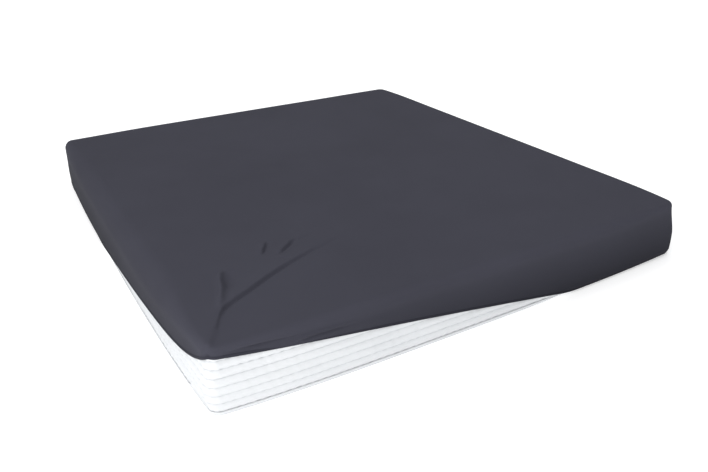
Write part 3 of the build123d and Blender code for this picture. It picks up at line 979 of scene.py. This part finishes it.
def cell_lines(low, high, count):
    """The grid lines across a row of cells, and each line's distance from the nearest groove's middle."""
    size = (high - low) / count
    half = cell_offsets[cell_offsets < size * 0.45]
    inside = np.concatenate([half, [size / 2], size - half[::-1]])
    starts = low + size * np.arange(count)
    places = (starts[:, None] + inside[None, :]).ravel()
    distance = np.tile(np.minimum(inside, size - inside), count)
    first, last = slice(0, len(half)), slice(-len(half), None)
    wall = groove_half + 0.0004
    distance[first] = np.maximum(distance[first], wall + places[first] - low)
    distance[last] = np.maximum(distance[last], wall + (high - places[last]))
    return places, distance


def cell_drop(distance):
    """What a cell loses near its edge: all of the groove's depth in the groove, a rounded rim beside it."""
    rim = rim_depth * np.exp(-(distance - groove_half) / rim_width)
    return np.where(distance < groove_half + 0.0002, groove_depth, rim)


def zone_mesh(node, across_count, along_count):
    """The cut top and the straight sides and bottom of one zone, as a box whose lid is the grid of
    heights."""
    low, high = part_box(node)
    xs, dx = cell_lines(low.x, high.x, across_count)
    ys, dy = cell_lines(low.y, high.y, along_count)
    x, y = np.meshgrid(xs, ys, indexing="ij")
    drop = np.maximum(cell_drop(dx)[:, None], cell_drop(dy)[None, :])
    z = high.z - np.minimum(drop, groove_depth)
    rim = border_numbers(*x.shape)
    rows, cols = x.shape
    places = points_of(x, y, z)
    bottom = points_of(x.ravel()[rim], y.ravel()[rim], low.z)
    centre = np.array([[(low.x + high.x) / 2, (low.y + high.y) / 2, low.z]])
    below = rows * cols + np.arange(len(rim))
    middle = np.full(len(rim), rows * cols + len(rim))
    sides = np.stack([rim, below, np.roll(below, -1), np.roll(rim, -1)], axis=-1)
    floor = np.stack([below, middle, middle, np.roll(below, -1)], axis=-1)
    return np.concatenate([places, bottom, centre]), np.concatenate([grid_faces(rows, cols), sides, floor])


def foam_block(name, node, slot, across_count, along_count):
    piece = mesh_piece(name, *zone_mesh(node, across_count, along_count))
    weld(piece)
    place_piece(piece, "core", slot, node)
    return piece


zone_pieces = [foam_block(node + "_cells", node, "comfort_foam", *counts) for node, counts in zones.items()]
layer_pieces = {node: foam_block(node + "_slab", node, node, 1, count) for node, count in layers.items()}

# %% [markdown]
# ## Finishes
#
# A finish is a small network of nodes. The helpers keep the networks readable: add makes a node and links
# or sets its inputs, and calc does one step of arithmetic. All the patterns are in metres. Image textures
# could give the same weaves, but a formula has no resolution to run out of and nothing to load.

# %% Node helpers
def add(tree, kind, settings, inputs):
    """A shader node: its settings, then its inputs, each a value or another node's output."""
    made = tree.nodes.new("ShaderNode" + kind)
    for key, value in settings.items():
        setattr(made, key, value)
    for key, value in inputs.items():
        if isinstance(value, bpy.types.NodeSocket):
            tree.links.new(value, made.inputs[key])
        else:
            made.inputs[key].default_value = value
    return made


def calc(tree, operation, a, b=0.0):
    """One step of arithmetic between two values or outputs."""
    return add(tree, "Math", {"operation": operation}, {0: a, 1: b}).outputs[0]


def start_finish(name, roughness, sheen=0.0, sheen_roughness=0.5, metallic=0.0):
    """A new material with its constants set on the shader itself. Returns it, its tree and its shader."""
    material = bpy.data.materials.new(name)
    material.use_nodes = True
    tree = material.node_tree
    shader = tree.nodes["Principled BSDF"]
    shader.inputs["Roughness"].default_value = roughness
    shader.inputs["Sheen Weight"].default_value = sheen
    shader.inputs["Sheen Roughness"].default_value = sheen_roughness
    shader.inputs["Metallic"].default_value = metallic
    return material, tree, shader


def object_place(tree):
    """The place on the piece, in metres."""
    return add(tree, "TexCoord", {}, {}).outputs["Object"]


def cloth_place(tree):
    """The place on the cloth, in metres, from the piece's UV map."""
    return add(tree, "UVMap", {"uv_map": "cloth"}, {}).outputs["UV"]


def set_ends(ramp, first, last):
    """Sets a colour ramp's first and last stop, each a position and a colour."""
    for stop, (position, colour) in zip(ramp.color_ramp.elements, (first, last)):
        stop.position = position
        stop.color = (*colour, 1)


def mottled(tree, place, scale, low, high, detail=3.0):
    """A colour that drifts between two shades."""
    noise = add(tree, "TexNoise", {}, {"Vector": place, "Scale": scale, "Detail": detail, "Roughness": 0.55})
    ramp = add(tree, "ValToRGB", {}, {"Fac": noise.outputs["Fac"]})
    set_ends(ramp, (0.35, low), (0.65, high))
    return ramp.outputs["Color"]


whole_turns = 64  # patterns are counted from this many turns before zero, and the fraction drops them again


def stripe(tree, value, pitch, offset, width):
    """1 within half of width from lines that are pitch apart, softly falling to 0."""
    start = 0.5 - offset / pitch + whole_turns
    turns = calc(tree, "FRACT", calc(tree, "ADD", calc(tree, "DIVIDE", value, pitch), start))
    distance = calc(tree, "ABSOLUTE", calc(tree, "SUBTRACT", turns, 0.5))
    closeness = calc(tree, "SUBTRACT", 1.0, calc(tree, "DIVIDE", distance, width / pitch))
    return calc(tree, "MAXIMUM", closeness, 0.0)


def dashes(tree, value, pitch, share):
    """1 on the stitches along a thread line, 0 between them."""
    turns = calc(tree, "FRACT", calc(tree, "ADD", calc(tree, "DIVIDE", value, pitch), whole_turns))
    return calc(tree, "LESS_THAN", turns, share)


def bumped(tree, shader, *layers):
    """Stacks bump layers, each a height output and its distance in metres, into the shader's normal."""
    normal = None
    for value, distance in layers:
        inputs = {"Height": value, "Distance": distance, "Strength": 1.0}
        if normal is not None:
            inputs["Normal"] = normal
        normal = add(tree, "Bump", {}, inputs).outputs["Normal"]
    tree.links.new(normal, shader.inputs["Normal"])


def knit_height(tree, place, wale, course):
    """The relief of a fine knit: columns of loops, each a slanted pair, as two crossed sines."""
    split = add(tree, "SeparateXYZ", {}, {"Vector": place})
    u = calc(tree, "MULTIPLY", split.outputs["X"], 2 * math.pi / wale)
    v = calc(tree, "MULTIPLY", split.outputs["Y"], 2 * math.pi / course)
    columns = calc(tree, "ABSOLUTE", calc(tree, "SINE", calc(tree, "MULTIPLY", u, 0.5)))
    loops = calc(tree, "SINE", calc(tree, "ADD", v, calc(tree, "MULTIPLY", columns, 2.2)))
    return calc(tree, "ADD", columns, calc(tree, "MULTIPLY", loops, 0.35))


def weave_height(tree, place, pitch):
    """The relief of a plain weave: the product of two sines."""
    split = add(tree, "SeparateXYZ", {}, {"Vector": place})
    one = calc(tree, "SINE", calc(tree, "MULTIPLY", split.outputs["X"], 2 * math.pi / pitch))
    other = calc(tree, "SINE", calc(tree, "MULTIPLY", split.outputs["Y"], 2 * math.pi / pitch))
    return calc(tree, "MULTIPLY", one, other)


def mixed(tree, amount, a, b):
    """A colour between two, each a colour or an output."""
    colours = {6: a if isinstance(a, bpy.types.NodeSocket) else (*a, 1)}
    colours[7] = b if isinstance(b, bpy.types.NodeSocket) else (*b, 1)
    return add(tree, "Mix", {"data_type": "RGBA"}, {0: amount, **colours}).outputs[2]


# %% [markdown]
# ### Jersey
#
# The cover is a dense, matt stretch jersey in charcoal with a trace of blue. Knitted loops about a
# millimetre wide give it a fine grain, and a faint sheen lightens it at glancing angles. Its colour is
# darkened with height as painted shade, so the sides stay darker towards the hem.

# %% Jersey
def jersey_finish(name, dark, light, stitched):
    """Charcoal jersey. A stitched one, for the hem, has a line of thread along it."""
    material, tree, shader = start_finish(name, 0.85, sheen=0.004, sheen_roughness=0.5)
    shader.inputs["Specular IOR Level"].default_value = 0.08
    place = cloth_place(tree)
    colour = mottled(tree, object_place(tree), 2.3, dark, light)
    # Painted shade: the colour is darkened with height, to about a third at the floor and four fifths at
    # 0.78 of the height, so the sides grow darker towards the hem.
    level = add(tree, "SeparateXYZ", {}, {"Vector": object_place(tree)}).outputs["Z"]
    painted_height_shade = add(tree, "ValToRGB", {}, {"Fac": calc(tree, "DIVIDE", level, height)})
    set_ends(painted_height_shade, (0.0, (0.36, 0.36, 0.37)), (0.985, (1, 1, 1)))
    painted_height_shade.color_ramp.elements.new(0.78).color = (0.80, 0.80, 0.80, 1)
    with_painted_shade = add(tree, "Mix", {"data_type": "RGBA", "blend_type": "MULTIPLY"}, {0: 1.0, 6: colour})
    tree.links.new(painted_height_shade.outputs["Color"], with_painted_shade.inputs[7])
    colour = with_painted_shade.outputs[2]
    knit = knit_height(tree, place, 0.0011, 0.0014)
    layers = [(knit, 0.00010)]
    if stitched:
        split = add(tree, "SeparateXYZ", {}, {"Vector": place})
        row = stripe(tree, split.outputs["Y"], 0.0062, 0.0031, 0.0011)
        thread = calc(tree, "MULTIPLY", row, dashes(tree, split.outputs["X"], 0.0042, 0.7))
        colour = mixed(tree, calc(tree, "MULTIPLY", row, 0.35), colour, tuple(c * 0.5 for c in dark))
        layers.append((thread, 0.0004))
    tree.links.new(colour, shader.inputs["Base Color"])
    bumped(tree, shader, *layers)
    return material


jersey = jersey_finish("charcoal_jersey", (0.0520, 0.0520, 0.0680), (0.0565, 0.0565, 0.0740), False)
# The hem's copy of the jersey is darker: painted shade along the hem.
shaded_hem_jersey = jersey_finish("charcoal_hem_shaded", (0.040, 0.0400, 0.053), (0.044, 0.0440, 0.058), True)


# %% [markdown]
# ### White casing cloth
#
# The quilted cloth is a brushed white knit. Thread runs along every quilting line, and the colour is
# painted greyer along each line, as shade in the stitched valley. The piping, label, tapes and base are
# plain weaves, the base with small grip dots.

# %% White cloths
white_low = (0.690, 0.702, 0.720)
white_high = (0.715, 0.727, 0.743)
seam_width = 0.0016
stitch_length = 0.0045


def quilt_finish(name, lozenges):
    """White quilted knit with thread along the quilting lines, level ones or crossing ones."""
    material, tree, shader = start_finish(name, 0.85, sheen=0.04)
    place = cloth_place(tree)
    split = add(tree, "SeparateXYZ", {}, {"Vector": place})
    across, along = split.outputs["X"], split.outputs["Y"]
    colour = mottled(tree, object_place(tree), 5.0, white_low, white_high)
    if lozenges:
        slant = calc(tree, "MULTIPLY", along, 0.62)
        one = calc(tree, "ADD", across, slant)
        other = calc(tree, "SUBTRACT", across, slant)
        rows = [
            (stripe(tree, one, lozenge, 0, seam_width), other),
            (stripe(tree, other, lozenge, 0, seam_width), one),
        ]
    else:
        above_zip = calc(tree, "GREATER_THAN", along, zip_high + 0.002)
        level_rows = stripe(tree, along, quilt_pitch, zip_z, seam_width)
        rows = [(calc(tree, "MULTIPLY", level_rows, above_zip), across)]
    seam_shade = rows[0][0]
    thread = calc(tree, "MULTIPLY", rows[0][0], dashes(tree, rows[0][1], stitch_length, 0.75))
    for row, run in rows[1:]:
        seam_shade = calc(tree, "MAXIMUM", seam_shade, row)
        stitches = calc(tree, "MULTIPLY", row, dashes(tree, run, stitch_length, 0.75))
        thread = calc(tree, "MAXIMUM", thread, stitches)
    # Painted shade: the colour turns grey along the stitched lines, where the cloth dips in.
    colour = mixed(tree, calc(tree, "MULTIPLY", seam_shade, 0.60), colour, (0.50, 0.52, 0.55))
    tree.links.new(colour, shader.inputs["Base Color"])
    fleece = add(tree, "TexNoise", {}, {"Vector": place, "Scale": 420.0, "Detail": 3.0}).outputs["Fac"]
    knit = knit_height(tree, place, 0.0016, 0.0020)
    bumped(tree, shader, (knit, 0.00012), (fleece, 0.0003), (thread, 0.0005))
    return material


def woven_finish(name, low, high, pitch, roughness=0.8):
    """A plain weave that follows the piece's UV map."""
    material, tree, shader = start_finish(name, roughness, sheen=0.05)
    tree.links.new(mottled(tree, object_place(tree), 9.0, low, high), shader.inputs["Base Color"])
    bumped(tree, shader, (weave_height(tree, cloth_place(tree), pitch), 0.00015))
    return material


def base_finish():
    """The base's white weave with small rubbery grip dots, on the piece's own coordinates."""
    material, tree, shader = start_finish("base_weave", 0.85)
    place = object_place(tree)
    colour = mottled(tree, place, 4.0, white_low, white_high)
    dots = add(tree, "TexVoronoi", {}, {"Vector": place, "Scale": 70.0, "Randomness": 0.0})
    dot = calc(tree, "LESS_THAN", dots.outputs["Distance"], 0.20)
    split = add(tree, "SeparateXYZ", {}, {"Vector": place})
    below = calc(tree, "LESS_THAN", split.outputs["Z"], 0.0025)
    dot = calc(tree, "MULTIPLY", dot, below)
    dotted = mixed(tree, calc(tree, "MULTIPLY", dot, 0.5), colour, (0.55, 0.57, 0.60))
    tree.links.new(dotted, shader.inputs["Base Color"])
    bumped(tree, shader, (weave_height(tree, place, 0.0014), 0.00015), (dot, 0.0004))
    return material


border_white = quilt_finish("white_border_quilt", False)
top_white = quilt_finish("white_top_quilt", True)
piping_white = woven_finish("white_piping", white_low, white_high, 0.0012)
label_white = woven_finish("label_satin", (0.84, 0.84, 0.83), (0.88, 0.88, 0.87), 0.0006, 0.5)
tape_white = woven_finish("zip_tape_weave", (0.84, 0.85, 0.87), (0.88, 0.89, 0.90), 0.0009)
elastic_grey = woven_finish("elastic_rib", (0.05, 0.05, 0.055), (0.07, 0.07, 0.075), 0.0016)
base_white = base_finish()


# %% [markdown]
# ### Zip parts and foam
#
# The coil's turns are stripes in its bump, a millimetre and a half apart. The slider and its tab are
# die-cast and nickel plated, with small scuffs. The foams are cut blocks: open pores, and a tint for each
# firmness.

# %% Zip and foam finishes
def coil_finish():
    """Glossy white nylon with the coil's turns cut into it along the chain, painted darker between the turns
    as shade.
    """
    material, tree, shader = start_finish("zip_nylon_coil", 0.35)
    split = add(tree, "SeparateXYZ", {}, {"Vector": cloth_place(tree)})
    turn = stripe(tree, split.outputs["X"], 0.0015, 0, 0.00045)
    # Painted shade: the colour is darker in the grooves between the coil's turns.
    colour = mixed(tree, turn, (0.90, 0.91, 0.92), (0.62, 0.63, 0.65))
    tree.links.new(colour, shader.inputs["Base Color"])
    bumped(tree, shader, (calc(tree, "SUBTRACT", 1.0, turn), 0.0005))
    return material


def metal_finish(name, low, high, roughness, metallic):
    """Plated metal or moulded plastic with fine scuffs in its gloss and relief."""
    material, tree, shader = start_finish(name, roughness, metallic=metallic)
    place = object_place(tree)
    tree.links.new(mottled(tree, place, 260.0, low, high), shader.inputs["Base Color"])
    scuff = add(tree, "TexNoise", {}, {"Vector": place, "Scale": 900.0, "Detail": 4.0}).outputs["Fac"]
    gloss = calc(tree, "ADD", calc(tree, "MULTIPLY", scuff, 0.25), roughness - 0.12)
    tree.links.new(gloss, shader.inputs["Roughness"])
    bumped(tree, shader, (scuff, 0.00004))
    return material


def foam_finish(name, low, high):
    """Cut foam: open cells of two sizes, the small pores painted darker as shade in the holes, and a colour
    that drifts.
    """
    material, tree, shader = start_finish(name, 0.95)
    place = object_place(tree)
    pores = add(tree, "TexVoronoi", {}, {"Vector": place, "Scale": 520.0}).outputs["Distance"]
    coarse = add(tree, "TexVoronoi", {}, {"Vector": place, "Scale": 160.0}).outputs["Distance"]
    colour = mottled(tree, place, 14.0, low, high)
    # Painted shade: the small pores are darkened, as shade inside the holes.
    pore_shade = calc(tree, "LESS_THAN", pores, 0.22)
    colour = mixed(tree, calc(tree, "MULTIPLY", pore_shade, 0.35), colour, tuple(0.55 * c for c in low))
    tree.links.new(colour, shader.inputs["Base Color"])
    bumped(tree, shader, (pores, 0.0006), (coarse, 0.0006))
    return material


coil_white = coil_finish()
plated = metal_finish("nickel_plate", (0.62, 0.61, 0.59), (0.72, 0.71, 0.69), 0.32, 1.0)
stop_nylon = metal_finish("zip_stop_nylon", (0.74, 0.75, 0.77), (0.82, 0.83, 0.84), 0.45, 0.0)
bolster_white = foam_finish("bolster_foam_white", (0.74, 0.74, 0.71), (0.77, 0.77, 0.74))
support_white = foam_finish("support_foam_cream", (0.72, 0.66, 0.52), (0.79, 0.73, 0.60))
transition_blue = foam_finish("transition_foam_blue", (0.40, 0.55, 0.66), (0.47, 0.62, 0.73))
comfort_lilac = foam_finish("comfort_foam_lilac", (0.60, 0.60, 0.72), (0.67, 0.67, 0.78))

# %% Give each piece its finish
finishes = {
    cover: jersey,
    hem_band: shaded_hem_jersey,
    elastic_band: elastic_grey,
    border: border_white,
    top_quilt: top_white,
    piping: piping_white,
    label: label_white,
    base: base_white,
    upper_tape: tape_white,
    lower_tape: tape_white,
    upper_coil: coil_white,
    lower_coil: coil_white,
}
for piece, material in finishes.items():
    piece.data.materials.append(material)
for piece in bolsters:
    piece.data.materials.append(bolster_white)
for piece in zone_pieces:
    piece.data.materials.append(comfort_lilac)
kept_nodes = {
    "zip_slider": plated,
    "zip_pull_tab": plated,
    "zip_stop_upper": stop_nylon,
    "zip_stop_lower": stop_nylon,
}
layer_pieces["support_foam"].data.materials.append(support_white)
layer_pieces["transition_foam"].data.materials.append(transition_blue)
for name, material in kept_nodes.items():
    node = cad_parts[name]
    node.data.materials.clear()
    node.data.materials.append(material)
print("finishes:", len(bpy.data.materials))

# %% [markdown]
# ## Floor and light
#
# The mattress lies on a seamless white floor, which glows a little so that no edge of it shows. A white
# surround gives the soft, almost shadowless light. A broad sun from above and a large lamp on the near left
# make the top a little lighter than the sides.

# %% Floor, surround and lamps
bpy.ops.mesh.primitive_plane_add(size=60, location=(0, 0, -0.0005))
floor = bpy.context.object
floor.name = "floor"
floor_white, floor_tree, floor_shader = start_finish("floor_white", 0.9)
floor_shader.inputs["Base Color"].default_value = (0.95, 0.95, 0.95, 1)
floor_shader.inputs["Emission Color"].default_value = (1, 1, 1, 1)
floor_shader.inputs["Emission Strength"].default_value = 0.36
floor.data.materials.append(floor_white)

surround = bpy.data.worlds.new("surround")
surround.use_nodes = True
surround.node_tree.nodes["Background"].inputs["Color"].default_value = (0.98, 0.99, 1.0, 1)
surround.node_tree.nodes["Background"].inputs["Strength"].default_value = 0.62
bpy.context.scene.world = surround
bpy.context.scene.view_settings.view_transform = "Standard"


def soft_lamp(name, place, size, power):
    """A large square lamp that faces the middle of the mattress."""
    data = bpy.data.lights.new(name, "AREA")
    data.size = size
    data.energy = power
    lamp = bpy.data.objects.new(name, data)
    lamp.location = place
    lamp.rotation_euler = (Vector(place) - Vector((0, 0, 0.1))).to_track_quat("Z", "Y").to_euler()
    bpy.context.scene.collection.objects.link(lamp)


soft_lamp("lamp_near", (-2.3, -2.3, 1.35), 1.1, 26)
sky_data = bpy.data.lights.new("lamp_above", "SUN")
sky_data.energy = 0.92
sky_data.angle = math.radians(70)
sky = bpy.data.objects.new("lamp_above", sky_data)
sky.rotation_euler = Vector((-0.40, 0.0, 1.0)).to_track_quat("Z", "Y").to_euler()
bpy.context.scene.collection.objects.link(sky)
